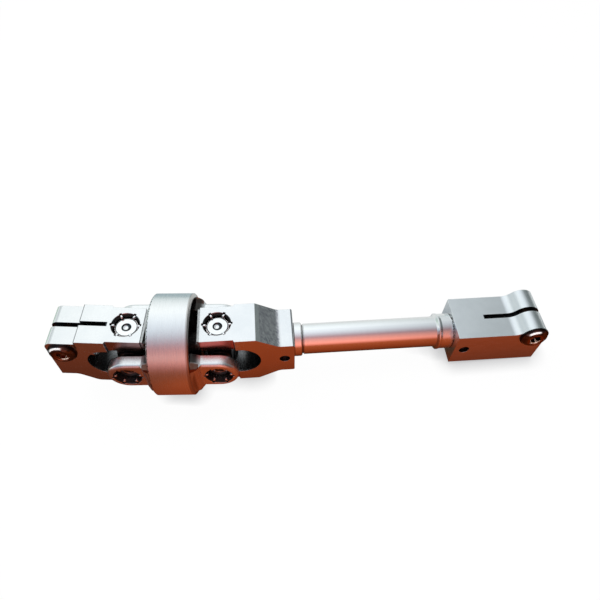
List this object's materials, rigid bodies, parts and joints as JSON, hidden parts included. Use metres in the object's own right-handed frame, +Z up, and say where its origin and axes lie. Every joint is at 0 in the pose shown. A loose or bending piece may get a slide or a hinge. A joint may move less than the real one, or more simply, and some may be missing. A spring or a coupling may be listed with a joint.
{
  "type": "steering shaft",
  "caption": "Steering column lower shaft: a centred double universal joint in a ring, between a split clamp yoke and a tube with a split clamp block.",
  "frame": {"origin": "middle of the right clamp block's bore, on the lower shaft's axis", "axes": "+X along the shaft from the double joint towards the clamp block, level with the surface that the shaft lies on; +Z up"},
  "size_m": [0.3061, 0.0653, 0.0664],
  "materials": {
    "yoke_aluminium": "satin, machined",
    "ring_aluminium": "satin, brushed round the ring",
    "block_aluminium": "satin, fine grained",
    "tube_aluminium": "satin, turned",
    "dark_bolt_steel": "blackened, glossy",
    "bearing_steel": "bright drawn",
    "machined_steel": "machined",
    "seal_rubber": "matt",
    "liner_plastic": "smooth"
  },
  "bodies": {
    "lower_shaft": {"inner_yoke": "yoke_aluminium", "shaft_tube": "tube_aluminium", "right_clamp_block": "block_aluminium", "right_pinch_bolt": "dark_bolt_steel", "right_bridge_plate": "machined_steel", "right_plate_rivets": "machined_steel", "centring_socket": "machined_steel", "centring_liner": "liner_plastic", "right_top_cup": "bearing_steel", "right_top_rollers": "bearing_steel", "right_top_seal": "seal_rubber", "right_bottom_cup": "bearing_steel", "right_bottom_rollers": "bearing_steel", "right_bottom_seal": "seal_rubber"},
    "right_cross": {"right_cross": "machined_steel"},
    "centre_ring": {"centre_ring": "ring_aluminium", "right_front_cup": "bearing_steel", "right_front_rollers": "bearing_steel", "right_front_seal": "seal_rubber", "right_back_cup": "bearing_steel", "right_back_rollers": "bearing_steel", "right_back_seal": "seal_rubber", "left_front_cup": "bearing_steel", "left_front_rollers": "bearing_steel", "left_front_seal": "seal_rubber", "left_back_cup": "bearing_steel", "left_back_rollers": "bearing_steel", "left_back_seal": "seal_rubber"},
    "left_cross": {"left_cross": "machined_steel"},
    "left_yoke": {"left_clamp_yoke": "yoke_aluminium", "left_pinch_bolt": "dark_bolt_steel", "left_bridge_plate": "machined_steel", "left_plate_rivets": "machined_steel", "centring_ball_stud": "machined_steel", "left_top_cup": "bearing_steel", "left_top_rollers": "bearing_steel", "left_top_seal": "seal_rubber", "left_bottom_cup": "bearing_steel", "left_bottom_rollers": "bearing_steel", "left_bottom_seal": "seal_rubber"}
  },
  "joints": [
    {"name": "right_yaw", "type": "hinge", "parent": "lower_shaft", "child": "right_cross", "pos_m": [-0.18449, 0, 0.01499], "axis": [0.081, 0, 0.9967], "range_deg": [-10.17, 14.83]},
    {"name": "right_pitch", "type": "hinge", "parent": "right_cross", "child": "centre_ring", "pos_m": [-0.18449, 0, 0.01499], "axis": [0.0405, 0.9992, -0.0033], "range_deg": [-13.72, 11.28]},
    {"name": "left_pitch", "type": "hinge", "parent": "centre_ring", "child": "left_cross", "pos_m": [-0.23956, 0.00225, 0.02065], "axis": [0.0405, 0.9992, -0.0033], "range_deg": [-13.72, 11.28]},
    {"name": "left_yaw", "type": "hinge", "parent": "left_cross", "child": "left_yoke", "pos_m": [-0.23956, 0.00225, 0.02065], "axis": [0.1233, -0.0017, 0.9924], "range_deg": [-10.17, 14.83]}
  ],
  "couplings": [
    {"joint": "left_pitch", "follows": "right_pitch", "ratio": 1},
    {"joint": "left_yaw", "follows": "right_yaw", "ratio": 1}
  ]
}
